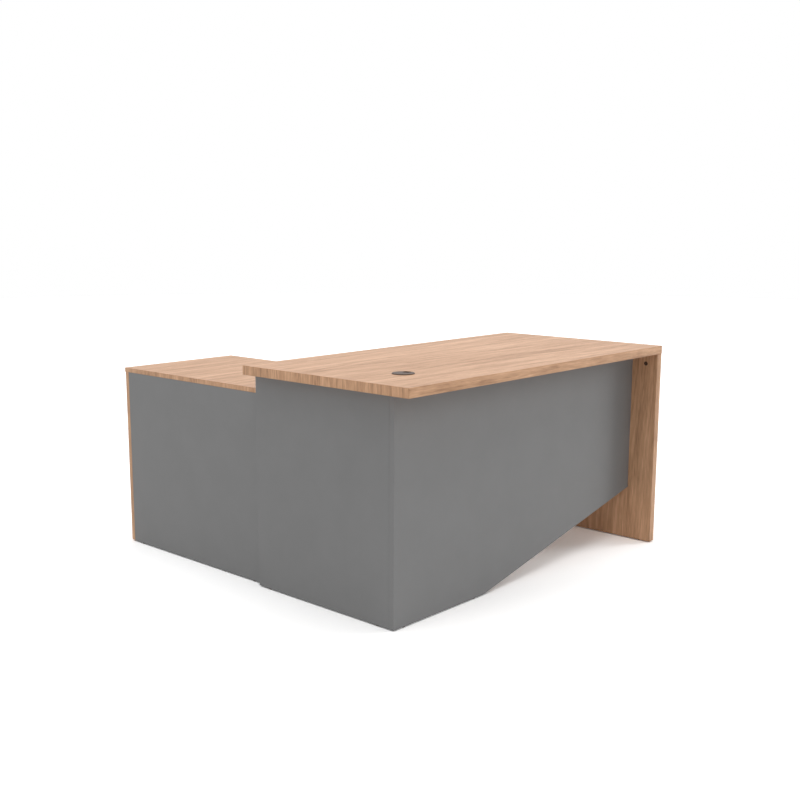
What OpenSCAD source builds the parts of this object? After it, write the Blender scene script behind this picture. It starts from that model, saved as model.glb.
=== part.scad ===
// L-shaped desk: a main worktop on a wooden gable and grey panels, with a lower storage return.
// X runs along the main worktop, Y from the visitor's side to the far end of the return, Z is up.
// The origin is on the floor, under the middle of the whole desk.
// Inside the modules, plan() moves the origin to the worktop's front left corner, on the floor.

/* [Main worktop] */
// Length of the main worktop
top_l = 1400; // [1300:10:1800]
// Depth of the main worktop
top_d = 700; // [650:10:900]
// Thickness of the main worktop
top_t = 30; // [25:1:40]
// Height of the main worktop's upper face above the floor
desk_h = 740; // [730:5:780]
// Edge rounding of the thick boards
thick_r = 2; // [1:0.5:3]
// Edge rounding of the thin boards
thin_r = 1; // [0.5:0.25:2]

/* [Gable and grey panels] */
// Thickness of the wooden gable at the right end
gable_t = 30; // [22:1:40]
// Distance from the worktop's right end to the gable's outer face
gable_inset = 2; // [0:1:60]
// Thickness of the grey panels and of the return's boards
board_t = 18; // [16:1:22]
// Overhang of the worktop past the side panel at the left end
side_inset = 50; // [10:5:120]
// Distance of the modesty panel behind the worktop's front edge
modesty_inset = 100; // [60:5:140]
// Distance the side panel stops short of the worktop's back edge
side_short = 3; // [0:1:30]
// Length of the level part of the modesty panel's lower edge
level_l = 436; // [300:1:700]
// Height above the floor at which the modesty panel's sloping edge meets the gable
slope_h = 200; // [100:5:400]
// Height of the floor glides
glide_h = 4; // [3:0.5:8]
// Diameter of the floor glides
glide_d = 16; // [12:1:16]

/* [Storage return] */
// Distance the return reaches past the main worktop's back edge
reach = 750; // [650:10:1000]
// Width of the return's worktop
ret_w = 500; // [460:5:600]
// Distance of the return's worktop below the main one
ret_drop = 82; // [70:1:130]
// Thickness of the return's worktop
ret_top_t = 16; // [16:1:25]
// Overhang of the return's worktop past its end panel
ret_over = 4; // [0:1:20]
// Overhang of the return's worktop past the drawer and door fronts
ret_nose = 0.5; // [0.5:0.5:10]
// Height of the return's bottom board above the floor
plinth_h = 55; // [40:1:80]
// Distance of the plinth behind the front edges of the boards
plinth_set = 40; // [20:5:100]
// Clear width of the drawer bay
drawer_bay = 420; // [380:5:460]
// Clear width of the cupboard bay
door_bay = 420; // [380:5:460]
// Height of the niche shelf's underside above the bottom board
niche_shelf_z = 280; // [150:10:400]
// Height of the cupboard shelf's underside above the bottom board
cup_shelf_z = 280; // [150:10:400]
// Distance of both shelves behind the front edges of the boards
shelf_set = 20; // [10:5:80]

/* [Drawers and door] */
// Gap between neighbouring fronts
front_gap = 3; // [2:0.5:5]
// Gap between the front edges of the boards and the backs of the fronts
front_play = 1.5; // [1.5:0.25:3]
// Height of the upper and middle drawer fronts
shallow_h = 145; // [130:1:160]
// Length of the drawer boxes and their runners
box_l = 400; // [350:10:440]
// Thickness of the drawer sides and backs
side_t = 12; // [12:1:15]
// Thickness of the drawer bases
base_t = 4; // [3:0.5:6]
// Depth of the grooves that hold the drawer bases
groove = 6; // [4:0.5:7]
// Height of each drawer base above the lower edge of its sides
base_lift = 10; // [8:1:20]
// Height of each drawer box above the lower edge of its front
box_lift = 22; // [20:1:26]
// Height lost between each front and its drawer box
box_drop = 47; // [45:1:60]

/* [Runners, handles, hinges and lock] */
// Sheet thickness of the telescopic runners
rail_t = 1.5; // [1.2:0.1:1.6]
// Running gap between the runner members
rail_gap = 0.3; // [0.3:0.05:0.4]
// Width of a closed runner, from cabinet board to drawer side
rail_w = 12.7; // [12.7:0.1:14]
// Height of the runners
rail_h = 45; // [42:1:50]
// Distance between the handle posts
handle_l = 128; // [96:32:160]
// Distance the handles stand out, to the middle of the rod
handle_out = 30; // [26:1:36]
// Diameter of the handle rod
handle_d = 10; // [8:1:12]
// Bend radius of the handle rod's centre line
handle_bend = 12; // [10:1:14]
// Length of each hinge
hinge_l = 60; // [48:3:90]
// Radius of the hinge knuckles
knuckle_r = 3; // [2.5:0.25:3.5]
// Thickness of the hinge leaves
leaf_t = 1.2; // [0.8:0.1:1.2]
// Diameter of the hinge pins
pin_d = 3; // [2:0.25:3.5]
// Diameter of the lock's housing
lock_d = 18; // [16:1:20]
// Reach of the lock's tongue from the barrel's axis
tongue_r = 35; // [34:1:38]
// Distance of the lock's axis below the top of the drawer front
lock_drop = 24; // [22:1:26]

/* [Cable outlet] */
// Distance of the cable outlet from the worktop's left end
outlet_x = 205; // [150:5:300]
// Distance of the cable outlet from the worktop's front edge
outlet_y = 203; // [180:5:400]
// Diameter of the bore for the cable outlet
outlet_d = 60; // [50:1:64]
// Outer diameter of the outlet's flange
flange_d = 70; // [68:1:90]
// Length of the cord notch in the outlet's cap
notch_l = 24; // [18:1:34]
// Depth of the cord notch, in from the cap's rim
notch_w = 23; // [12:1:26]
// Direction of the cord notch, from +X towards +Y
notch_turn = 8; // [0:1:360]

/* [Board fittings] */
// Diameter of the cam locks
cam_d = 15; // [12:1:15]
// Depth of the cam locks in their boards
cam_h = 13; // [12:0.5:14]
// Distance of each cam's centre from the joint
cam_set = 37; // [30:1:37]
// Diameter of the wooden dowels
dowel_d = 8; // [6:1:8]
// Distance from each cam bolt to the dowel beside it
dowel_step = 32; // [32:32:64]
// Clearance round fittings in their bores
fit_play = 0.1; // [0.05:0.05:0.2]

/* [Hidden] */
$fn = 48;
// A little more than nothing, so that cuts run past the faces they open
eps = 0.5;

// Colours, as the photograph shows them
wood_c = "#dcbda2";
grey_c = "#808080";
dark_c = "#4a4744";
metal_c = "#b8babc";
inner_c = "#e6e2dc";
birch_c = "#d9bd8f";

// Overall depth and the heights of the main desk
total_d = top_d + reach;
under_z = desk_h - top_t;
gable_x = top_l - gable_inset - gable_t;
modesty_l = gable_x - side_inset;
near_y = modesty_inset + board_t;
side_end = top_d - side_short;

// The return's carcass
ret_h = desk_h - ret_drop;
ret_x = side_inset + board_t;
inner_x = ret_x + board_t;
ret_front = ret_x + ret_w;
front_x = ret_front - ret_nose - board_t;
carcass_x = front_x - front_play;
end_y = total_d - ret_over;
ret_under = ret_h - ret_top_t;
deck_z = plinth_h + board_t;
clear_d = carcass_x - inner_x;

// The bays, from the near panel to the end panel
drawer_y = near_y + board_t;
near_div_y = drawer_y + drawer_bay;
niche_y = near_div_y + board_t;
door_y = end_y - board_t - door_bay;
far_div_y = door_y - board_t;
niche_bay = far_div_y - niche_y;

// The fronts: lower, middle and upper drawer, then the door
LOWER = 0;
MIDDLE = 1;
UPPER = 2;
fronts_z = plinth_h + front_gap / 2;
fronts_top = ret_under - front_gap;
deep_h = fronts_top - fronts_z - 2 * shallow_h - 2 * front_gap;
front_y = near_y + front_gap / 2;
front_w = near_div_y + (board_t - front_gap) / 2 - front_y;
drawer_mid = drawer_y + drawer_bay / 2;
function front_h(level) = level == LOWER ? deep_h : shallow_h;
function front_z(level) = level == LOWER
    ? fronts_z
    : fronts_z + deep_h + front_gap + (level - 1) * (shallow_h + front_gap);
function box_z(level) = front_z(level) + box_lift;
function box_h(level) = front_h(level) - box_drop;
// The rails of the shallow drawers lie at mid height, and the deep drawer's at the same height
function rail_z(level) = box_z(level) + (shallow_h - box_drop) / 2;

// The drawer boxes
box_x = front_x - box_l;
box_y = drawer_y + rail_w;
box_w = drawer_bay - 2 * rail_w;
groove_play = 0.2;

// The door and its hinges
door_gap = 0.3;
pin_x = carcass_x + knuckle_r + 0.2;
pin_y = end_y - knuckle_r;
door_start = far_div_y + (board_t + front_gap) / 2;
door_w = pin_y - knuckle_r - door_gap - door_start;
door_h = fronts_top - fronts_z;
hinge_inset = 90;
hinge_zs = [fronts_z + hinge_inset, fronts_top - hinge_inset - hinge_l];

// The lock in the upper drawer front
lock_z = fronts_top - lock_drop;

// Boards and plan frame

module plan() {
    translate([-top_l / 2, -total_d / 2, 0]) children();
}

// A rectangle with rounded corners
module rounded(w, h, r) {
    translate([r, 0]) square([w - 2 * r, h]);
    translate([0, r]) square([w, h - 2 * r]);
    for (x = [r, w - r], y = [r, h - r])
        translate([x, y]) circle(r, $fn = 24);
}

// A board of the given size with all its edges rounded by the edge banding
module board(size, r) {
    intersection() {
        linear_extrude(size.z) rounded(size.x, size.y, r);
        translate([0, size.y, 0]) rotate([90, 0, 0])
            linear_extrude(size.y) rounded(size.x, size.z, r);
        rotate([90, 0, 90]) linear_extrude(size.x) rounded(size.y, size.z, r);
    }
}

module drill(d, h) {
    translate([0, 0, -eps]) cylinder(d = d, h = h + eps);
}

// Knock-down joint between the edge of one board and the face of another.
// Its origin is on the joint, over the bolt. +Z points into the face, the cam opens towards -Y
// and the dowel lies dowel_step along -X. The bolt runs bolt_depth below the cam's mouth.
bolt_depth = 9;
bolt_d = 7;
thread_d = 5;
thread_l = 11;
dowel_in_edge = 19;
dowel_in_face = 11;
// The bolt's head reaches this far past the middle of the cam
head_past = 2;

module cam_place() {
    translate([0, -bolt_depth, -cam_set]) rotate([-90, 0, 0]) children();
}

// What the joint takes out of the board that is joined by its edge
module edge_cuts() {
    cam_place() drill(cam_d + 2 * fit_play, cam_h + fit_play);
    translate([0, 0, -cam_set]) cylinder(d = bolt_d + 1, h = cam_set + eps);
    translate([-dowel_step, 0, -dowel_in_edge]) cylinder(d = dowel_d + 2 * fit_play, h = dowel_in_edge + eps);
}

// What the joint takes out of the board that is joined by its face
module face_cuts() {
    drill(thread_d + 2 * fit_play, thread_l + 1);
    translate([-dowel_step, 0, 0]) drill(dowel_d + 2 * fit_play, dowel_in_face);
}

// A cam with its cross recess and the slot that swallows the bolt's head
module cam() {
    slot_w = bolt_d + 1;
    cross = [cam_d * 0.6, 2, 3];
    cam_place() difference() {
        cylinder(d = cam_d, h = cam_h - fit_play);
        for (turn = [45, 135])
            rotate(turn) translate([-cross.x / 2, -cross.y / 2, -eps]) cube(cross);
        translate([-slot_w / 2, -cam_d, bolt_depth - slot_w / 2])
            cube([slot_w, cam_d + head_past + 1, cam_h]);
    }
}

// The bolt: head in the cam, neck, shank in the edge and thread in the face
module bolt() {
    head = 3;
    neck = 5;
    translate([0, 0, -cam_set - head_past]) rotate_extrude() polygon([
        [0, 0], [bolt_d / 2, 0], [bolt_d / 2, head], [1.8, head + 1], [1.8, head + neck],
        [bolt_d / 2, head + neck + 1], [bolt_d / 2, cam_set + head_past],
        [thread_d / 2, cam_set + head_past], [thread_d / 2, cam_set + head_past + thread_l - 1],
        [thread_d / 2 - 1, cam_set + head_past + thread_l], [0, cam_set + head_past + thread_l]
    ]);
}

// A dowel with chamfered ends
module dowel() {
    l = dowel_in_edge + dowel_in_face - 1;
    translate([-dowel_step, 0, -dowel_in_edge]) rotate_extrude() polygon([
        [0, 0], [dowel_d / 2 - 1, 0], [dowel_d / 2, 1], [dowel_d / 2, l - 1],
        [dowel_d / 2 - 1, l], [0, l]
    ]);
}

// Places of the joints: each is [position, rotation]
// The gable carries the worktop: cams open to the knee space
gable_fit_y = 46;
gable_joints = [
    for (y = [gable_fit_y, top_d / 2, top_d - gable_fit_y - dowel_step])
        [[gable_x + bolt_depth, y, under_z], [0, 0, -90]]
];
// The modesty panel carries the worktop: cams open to the user's side
modesty_fit_x = 100;
modesty_joints = [
    for (x = [side_inset + modesty_fit_x, (side_inset + gable_x) / 2, gable_x - modesty_fit_x])
        [[x, near_y - bolt_depth, under_z], [0, 0, 180]]
];
// The side panel carries the worktop: cams open to the knee space
side_fit_y = 60;
side_joints = [
    for (y = [near_y + side_fit_y, (near_y + side_end) / 2, side_end - side_fit_y])
        [[ret_x - bolt_depth, y, under_z], [0, 0, 90]]
];
// The modesty panel meets the gable's inner face
gable_fit_z = 90;
modesty_gable_joints = [
    for (z = [slope_h + gable_fit_z, under_z - gable_fit_z])
        [[gable_x, near_y - bolt_depth, z], [180, -90, 0]]
];
// The modesty panel laps the side panel's front edge
side_fit_z = 120;
modesty_side_joints = [
    for (z = [side_fit_z, under_z - side_fit_z])
        [[ret_x - bolt_depth, near_y, z], [0, -90, 90]]
];
// The return's uprights carry its worktop: the cams open into the drawer bay and the cupboard
upright_fit_x = 60;
upright_xs = [inner_x + upright_fit_x, carcass_x - upright_fit_x];
function joints_from_near(y) = [for (x = upright_xs) [[x, y - bolt_depth, ret_under], [0, 0, 180]]];
function joints_from_far(y) = [for (x = upright_xs) [[x, y + bolt_depth, ret_under], [0, 0, 0]]];
near_joints = joints_from_near(drawer_y);
near_div_joints = joints_from_far(near_div_y);
far_div_joints = joints_from_near(door_y);
end_joints = joints_from_far(end_y - board_t);
// The bottom board runs between the near panel and the end panel: its cams open downwards
bottom_end_joints = [
    for (x = upright_xs) [[x, end_y - board_t, plinth_h + bolt_depth], [90, 0, 180]]
];
bottom_near_joints = [
    for (x = upright_xs) [[x, drawer_y, plinth_h + bolt_depth], [90, 0, 0]]
];

top_joints = concat(gable_joints, modesty_joints, side_joints);
return_top_joints = concat(near_joints, end_joints, near_div_joints, far_div_joints);
all_joints = concat(
    top_joints, modesty_gable_joints, modesty_side_joints, return_top_joints,
    bottom_end_joints, bottom_near_joints
);

module at(places) {
    for (p = places)
        translate(p[0]) rotate(p[1]) children();
}

module desk_top() {
    color(wood_c) plan() difference() {
        translate([0, 0, under_z]) board([top_l, top_d, top_t], thick_r);
        translate([outlet_x, outlet_y, under_z - eps]) cylinder(d = outlet_d, h = top_t + 2 * eps, $fn = 96);
        at(top_joints) face_cuts();
    }
}

module right_gable() {
    color(wood_c) plan() difference() {
        translate([gable_x, 0, glide_h]) board([gable_t, top_d, under_z - glide_h], thick_r);
        at(gable_joints) edge_cuts();
        at(modesty_gable_joints) face_cuts();
    }
}

// Grey front panel with rounded upright edges, whose lower edge rises in a straight slope to the gable
module modesty_panel() {
    color(grey_c) plan() difference() {
        translate([side_inset, modesty_inset, 0]) intersection() {
            linear_extrude(under_z) rounded(modesty_l, board_t, thin_r);
            translate([0, board_t, 0]) rotate([90, 0, 0]) linear_extrude(board_t) polygon([
                [0, glide_h], [level_l, glide_h], [modesty_l, slope_h],
                [modesty_l, under_z], [0, under_z]
            ]);
        }
        at(modesty_joints) edge_cuts();
        at(modesty_gable_joints) edge_cuts();
        at(modesty_side_joints) face_cuts();
    }
}

module side_panel() {
    color(grey_c) plan() difference() {
        translate([side_inset, near_y, glide_h])
            board([board_t, side_end - near_y, under_z - glide_h], thin_r);
        at(side_joints) edge_cuts();
        at(modesty_side_joints) edge_cuts();
        at(link_places) drill(screw_d + 2 * fit_play, link_l - board_t + 1);
    }
}

// Cable outlet: a flanged sleeve in the worktop's bore and a cap with a notch for the cords
flange_t = 2.5;
sleeve_t = 2;
sleeve_l = 22;
cap_t = 2;
cap_play = 0.3;
notch_r = 6;
ledge_r = flange_d / 2 - 3;

module outlet_sleeve() {
    sleeve_r = outlet_d / 2 - fit_play;
    color(dark_c) plan() translate([outlet_x, outlet_y, desk_h]) rotate_extrude($fn = 96) polygon([
        [sleeve_r - sleeve_t, -sleeve_l], [sleeve_r, -sleeve_l], [sleeve_r, 0],
        [flange_d / 2, 0], [flange_d / 2, 0.8], [flange_d / 2 - 1.2, flange_t],
        [ledge_r, flange_t], [ledge_r, flange_t - cap_t], [sleeve_r - sleeve_t, flange_t - cap_t]
    ]);
}

module outlet_cap() {
    skirt_r = outlet_d / 2 - fit_play - sleeve_t - cap_play;
    skirt_l = 9;
    rim_r = ledge_r - cap_play;
    color(dark_c) plan() translate([outlet_x, outlet_y, desk_h + flange_t - cap_t]) difference() {
        union() {
            cylinder(r = rim_r, h = cap_t, $fn = 96);
            translate([0, 0, -skirt_l]) difference() {
                cylinder(r = skirt_r, h = skirt_l + cap_t / 2, $fn = 96);
                translate([0, 0, -eps]) cylinder(r = skirt_r - 1.5, h = skirt_l + eps, $fn = 96);
            }
        }
        rotate(notch_turn) translate([rim_r - notch_w, -notch_l / 2, -skirt_l - eps])
            linear_extrude(skirt_l + cap_t + 2 * eps)
                rounded(notch_w + notch_r + eps, notch_l, notch_r);
    }
}

// Low round glides under the upright boards, set in from the boards' ends
glide_set = 50;
rail_glide_set = 150;
glide_chamfer = 1.5;
glide_xy = concat(
    [for (y = [glide_set, top_d - glide_set]) [gable_x + gable_t / 2, y]],
    [for (y = [near_y + glide_set, side_end - glide_set]) [side_inset + board_t / 2, y]],
    [for (x = [side_inset + glide_set, side_inset + level_l - glide_set]) [x, near_y - board_t / 2]],
    [
        for (x = [inner_x + glide_set, carcass_x - glide_set], y = [near_y, end_y - board_t])
            [x, y + board_t / 2]
    ],
    [for (y = [side_end + glide_set, end_y - board_t - glide_set]) [ret_x + board_t / 2, y]],
    [
        for (y = [drawer_y + rail_glide_set, end_y - board_t - rail_glide_set])
            [carcass_x - plinth_set - board_t / 2, y]
    ]
);

module floor_glides() {
    color(dark_c) plan() for (p = glide_xy)
        translate(p) rotate_extrude() polygon([
            [0, 0], [glide_d / 2 - glide_chamfer, 0], [glide_d / 2, glide_chamfer],
            [glide_d / 2, glide_h], [0, glide_h]
        ]);
}

module cam_locks() {
    color(metal_c) plan() at(all_joints) cam();
}

module cam_bolts() {
    color(metal_c) plan() at(all_joints) bolt();
}

module wood_dowels() {
    color(birch_c) plan() at(all_joints) dowel();
}

// Countersunk screws that tie the return's back to the side panel
screw_d = 4;
head_d = 8;
link_l = 30;
link_fit_y = 60;
link_fit_z = 75;
link_places = [
    for (y = [drawer_y + link_fit_y, near_div_y - link_fit_y])
        for (z = [deck_z + link_fit_z, ret_under - link_fit_z])
            [[ret_x, y, z], [0, -90, 0]]
];

module link_screws() {
    color(metal_c) plan() at(link_places) translate([0, 0, -board_t]) rotate_extrude() polygon([
        [0, 0], [head_d / 2, 0], [screw_d / 2, (head_d - screw_d) / 2], [screw_d / 2, link_l - 3],
        [0, link_l]
    ]);
}

// What a link screw takes out of the return's back: its bore and its countersink
module link_cuts() {
    translate([0, 0, -board_t]) {
        drill(screw_d + 2 * fit_play, board_t + 2 * eps);
        translate([0, 0, -eps]) cylinder(
            d1 = head_d + 2 * fit_play + 2 * eps, d2 = screw_d + 2 * fit_play,
            h = (head_d - screw_d) / 2 + eps
        );
    }
}

module return_top() {
    color(wood_c) plan() difference() {
        translate([ret_x, near_y, ret_under]) board([ret_w, total_d - near_y, ret_top_t], thin_r);
        at(return_top_joints) face_cuts();
        lock_slot();
    }
}

// Pocket cut into the underside of the return's worktop by a disc, for the lock's tongue
module lock_slot() {
    translate([front_x - tongue_back - tongue_t - 1, drawer_mid, lock_z]) rotate([0, 90, 0])
        cylinder(r = tongue_r + 1.5, h = tongue_t + 2, $fn = 96);
}

module return_back() {
    color(grey_c) plan() difference() {
        translate([ret_x, near_y, glide_h])
            board([board_t, end_y - board_t - near_y, ret_under - glide_h], thin_r);
        at(link_places) link_cuts();
    }
}

// An upright board of the return, from the inner face of its back to the front edges
module upright(y, z) {
    translate([inner_x, y, z]) board([clear_d, board_t, ret_under - z], thin_r / 2);
}

module return_end_panel() {
    color(wood_c) plan() difference() {
        translate([ret_x, end_y - board_t, glide_h])
            board([carcass_x - ret_x, board_t, ret_under - glide_h], thin_r);
        at(end_joints) edge_cuts();
        at(bottom_end_joints) face_cuts();
        pin_holes(end_y - board_t, -1);
    }
}

module return_near_panel() {
    color(wood_c) plan() difference() {
        upright(near_y, glide_h);
        at(near_joints) edge_cuts();
        at(bottom_near_joints) face_cuts();
    }
}

module near_divider() {
    color(wood_c) plan() difference() {
        upright(near_div_y, deck_z);
        at(near_div_joints) edge_cuts();
        pin_holes(niche_y, 1);
    }
}

module far_divider() {
    color(wood_c) plan() difference() {
        upright(far_div_y, deck_z);
        at(far_div_joints) edge_cuts();
        pin_holes(far_div_y, -1);
        pin_holes(door_y, 1);
    }
}

module return_bottom() {
    color(wood_c) plan() difference() {
        translate([inner_x, drawer_y, plinth_h])
            board([clear_d, end_y - board_t - drawer_y, board_t], thin_r / 2);
        at(bottom_end_joints) edge_cuts();
        at(bottom_near_joints) edge_cuts();
    }
}

module plinth_rail() {
    color(grey_c) plan()
        translate([carcass_x - plinth_set - board_t, drawer_y, glide_h])
            board([board_t, end_y - board_t - drawer_y, plinth_h - glide_h], thin_r / 2);
}

// Shelf pins stand in rows of holes at the 32 mm pitch of such boards
pitch = 32;
pin_row = 2;
shelf_pin_d = 5;
shelf_pin_l = 6.5;
pin_set = 50;
pin_xs = [inner_x + pin_set, carcass_x - shelf_set - pin_set];

// Rows of holes drilled into the face at y, on the side of a board that dir points away from
module pin_holes(y, dir) {
    for (x = pin_xs, step = [-pin_row:pin_row], z = shelf_levels(y))
        translate([x, y, z - shelf_pin_d / 2 + step * pitch]) rotate([dir * 90, 0, 0])
            drill(shelf_pin_d + 2 * fit_play, shelf_pin_l + 1);
}

// Height of the shelf's underside in the bay whose wall has its face at y
function shelf_levels(y) = y == niche_y || y == far_div_y
    ? [deck_z + niche_shelf_z]
    : [deck_z + cup_shelf_z];

// A pin with a flange against the wall and a flat-topped peg under the shelf
module shelf_pin() {
    rotate([-90, 0, 0]) {
        translate([0, 0, -shelf_pin_l]) cylinder(d = shelf_pin_d, h = shelf_pin_l + 8);
        cylinder(d = shelf_pin_d + 2, h = 1.5);
    }
}

shelf_play = 1.6;

module shelf_pins() {
    color(metal_c) plan() {
        for (x = pin_xs) {
            translate([x, niche_y, deck_z + niche_shelf_z - shelf_pin_d / 2]) shelf_pin();
            translate([x, far_div_y, deck_z + niche_shelf_z - shelf_pin_d / 2]) mirror([0, 1, 0]) shelf_pin();
            translate([x, door_y, deck_z + cup_shelf_z - shelf_pin_d / 2]) shelf_pin();
            translate([x, end_y - board_t, deck_z + cup_shelf_z - shelf_pin_d / 2])
                mirror([0, 1, 0]) shelf_pin();
        }
    }
}

module shelf(y, w, z) {
    plan() translate([inner_x + 1, y + shelf_play, z])
        board([clear_d - shelf_set - 1, w - 2 * shelf_play, board_t], thin_r / 2);
}

module niche_shelf() {
    color(wood_c) shelf(niche_y, niche_bay, deck_z + niche_shelf_z);
}

module cupboard_shelf() {
    color(wood_c) shelf(door_y, door_bay, deck_z + cup_shelf_z);
}

// A bent-rod handle: its posts stand on the plane z = 0, and it runs along X
module rod_handle() {
    r = handle_d / 2;
    for (side = [-1, 1]) translate([side * handle_l / 2, 0, 0]) {
        cylinder(r = r, h = handle_out - handle_bend);
        translate([-side * handle_bend, 0, handle_out - handle_bend])
            rotate([90, 0, 0]) rotate(side > 0 ? 0 : 90)
                rotate_extrude(angle = 90) translate([handle_bend, 0]) circle(r);
    }
    translate([-handle_l / 2 + handle_bend, 0, handle_out]) rotate([0, 90, 0])
        cylinder(r = r, h = handle_l - 2 * handle_bend);
}

module cupboard_door() {
    color(wood_c) plan() translate([front_x, door_start, fronts_z])
        board([board_t, door_w, door_h], thin_r);
}

// Distances of the door's handle from the door's free edge and from its top
door_handle_y = 35;
door_handle_z = 60;

module door_handle() {
    color(metal_c) plan()
        translate([front_x + board_t, door_start + door_handle_y, fronts_top - door_handle_z - handle_l / 2])
            rotate([0, 90, 0]) rod_handle();
}

// Hinges: the frame's leaf holds the outer knuckles, and the door's leaf the middle one
knuckle_gap = 0.3;
leaf_w = 17;
// The frame's leaf has this strip in common for both its knuckles
leaf_strip = 3;
pin_play = 0.1;
third = hinge_l / 3;

module knuckle(z, h) {
    translate([pin_x, pin_y, z]) difference() {
        cylinder(r = knuckle_r, h = h);
        translate([0, 0, -eps]) cylinder(d = pin_d + pin_play, h = h + 2 * eps);
    }
}

module frame_hinge_leaves() {
    color(metal_c) plan() for (z = hinge_zs) difference() {
        union() {
            for (k = [0, 2]) translate([0, 0, k * third]) {
                knuckle(z, third);
                translate([carcass_x, end_y - leaf_w, z]) cube([leaf_t, leaf_w - knuckle_r, third]);
            }
            translate([carcass_x, end_y - leaf_w, z]) cube([leaf_t, leaf_strip, hinge_l]);
        }
        translate([pin_x, pin_y, z - eps]) cylinder(d = pin_d + pin_play, h = hinge_l + 2 * eps);
    }
}

module door_hinge_leaves() {
    z0 = third + knuckle_gap;
    h = third - 2 * knuckle_gap;
    color(metal_c) plan() for (z = hinge_zs) difference() {
        union() {
            knuckle(z + z0, h);
            translate([front_x - leaf_t, end_y - leaf_w + leaf_strip + door_gap, z + z0])
                cube([leaf_t, leaf_w - knuckle_r - leaf_strip - door_gap, h]);
        }
        translate([pin_x, pin_y, z + z0 - eps]) cylinder(d = pin_d + pin_play, h = h + 2 * eps);
    }
}

module hinge_pins() {
    color(metal_c) plan() for (z = hinge_zs)
        translate([pin_x, pin_y, z]) cylinder(d = pin_d, h = hinge_l);
}

// Magnetic catch of the door: a housing on the far divider, its magnet, and a steel plate on the door
catch_size = [14, 15, 46];
catch_drop = 60;
catch_gap = 0.3;
plate_t = 0.8;
pole_t = 1.2;
pole_out = 0.8;
magnet_size = [10, 6, 30];
magnet_play = 0.1;
plate_x = front_x - plate_t;
catch_x = plate_x - catch_gap - pole_out - catch_size.x;
catch_z = ret_under - catch_drop - catch_size.z;

module catch_housing() {
    pocket = magnet_size + [eps, 2 * magnet_play, 2 * magnet_play];
    color(dark_c) plan() translate([catch_x, door_y, catch_z]) difference() {
        board(catch_size, 1);
        translate([
            catch_size.x - magnet_size.x, (catch_size.y - pocket.y) / 2, (catch_size.z - pocket.z) / 2
        ]) cube(pocket);
    }
}

// The magnet between its two steel poles, which stand a little out of the housing
module catch_magnet() {
    color(metal_c) plan() translate([
        catch_x + catch_size.x - magnet_size.x,
        door_y + (catch_size.y - magnet_size.y) / 2,
        catch_z + (catch_size.z - magnet_size.z) / 2
    ]) {
        cube(magnet_size - [0.5, 0, 0]);
        for (side = [0, 1]) translate([0, side * (magnet_size.y - pole_t), 0])
            cube([magnet_size.x + pole_out, pole_t, magnet_size.z]);
    }
}

module catch_plate() {
    plate_w = 16;
    color(metal_c) plan()
        translate([plate_x, door_y + (catch_size.y - plate_w) / 2, catch_z + 3])
            cube([plate_t, plate_w, catch_size.z - 6]);
}

// Lock of the upper drawer: a housing through the front, and a barrel that turns the tongue
barrel_d = 11;
barrel_play = 0.05;
// The housing stands this far out of the back of the drawer front
housing_back = 2;
rim_t = 1.5;
tongue_t = 2;
tongue_back = 4;
tongue_w = 12;

module lock_housing() {
    bore = barrel_d + 2 * barrel_play;
    inner_l = board_t + housing_back;
    color(metal_c) plan() translate([front_x, drawer_mid, lock_z]) rotate([0, 90, 0]) difference() {
        union() {
            translate([0, 0, -housing_back]) cylinder(d = lock_d, h = inner_l + eps);
            translate([0, 0, board_t]) cylinder(d = lock_d + 4, h = rim_t);
        }
        translate([0, 0, -housing_back - eps]) cylinder(d = bore, h = inner_l + rim_t + 2 * eps);
    }
}

module lock_barrel() {
    key_slot = [6, 1.4, 6];
    color(metal_c) plan() translate([front_x, drawer_mid, lock_z]) {
        rotate([0, 90, 0]) difference() {
            translate([0, 0, -tongue_back]) cylinder(d = barrel_d, h = tongue_back + board_t + rim_t);
            translate([-key_slot.y / 2, -key_slot.x / 2, board_t + rim_t - key_slot.z + eps])
                cube([key_slot.y, key_slot.x, key_slot.z]);
        }
        translate([-tongue_back - tongue_t, -tongue_w / 2, -tongue_w / 2])
            cube([tongue_t, tongue_r + tongue_w / 2, tongue_w]);
    }
}

// Drawers

// Cross-section of one rail member: rectangles [u0, u1, v0, v1], mirrored about v = 0.
// u runs from the cabinet board towards the drawer side and v is the height.
flange_v = rail_h / 2;
nest = rail_t + rail_gap;
cabinet_section = [
    [0, rail_t, 0, flange_v],
    [0, rail_w - 1.2, flange_v - rail_t, flange_v],
    [rail_w - 1.2 - rail_t, rail_w - 1.2, flange_v - 2 * rail_t - rail_gap, flange_v]
];
intermediate_edge = rail_w - 1.2 - rail_t - rail_gap;
intermediate_section = [
    [nest, nest + rail_t, 0, flange_v - nest],
    [nest, intermediate_edge, flange_v - nest - rail_t, flange_v - nest],
    [intermediate_edge - rail_t, intermediate_edge, flange_v - nest - 2 * rail_t, flange_v - nest]
];
inner_flange = flange_v - nest - 2 * rail_t - rail_gap;
drawer_section = [
    [rail_w - rail_t, rail_w, 0, inner_flange],
    [2 * nest, rail_w, inner_flange - rail_t, inner_flange],
    [2 * nest, 2 * nest + rail_t, inner_flange - rail_t, flange_v - 2 * nest]
];

module rail(section, level, length, shift) {
    x0 = carcass_x - 3 - box_l + shift;
    for (side = [0, 1])
        translate([0, side * 2 * drawer_mid, 0]) mirror([0, side, 0])
            translate([x0, drawer_y, rail_z(level)]) rotate([90, 0, 90])
                linear_extrude(length) for (s = section, up = [1, -1])
                    translate([s[0], up > 0 ? s[2] : -s[3]]) square([s[1] - s[0], s[3] - s[2]]);
}

module cabinet_rails(level) {
    color(metal_c) plan() rail(cabinet_section, level, box_l, 0);
}

module intermediate_rails(level) {
    color(metal_c) plan() rail(intermediate_section, level, box_l - 10, 5);
}

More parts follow.
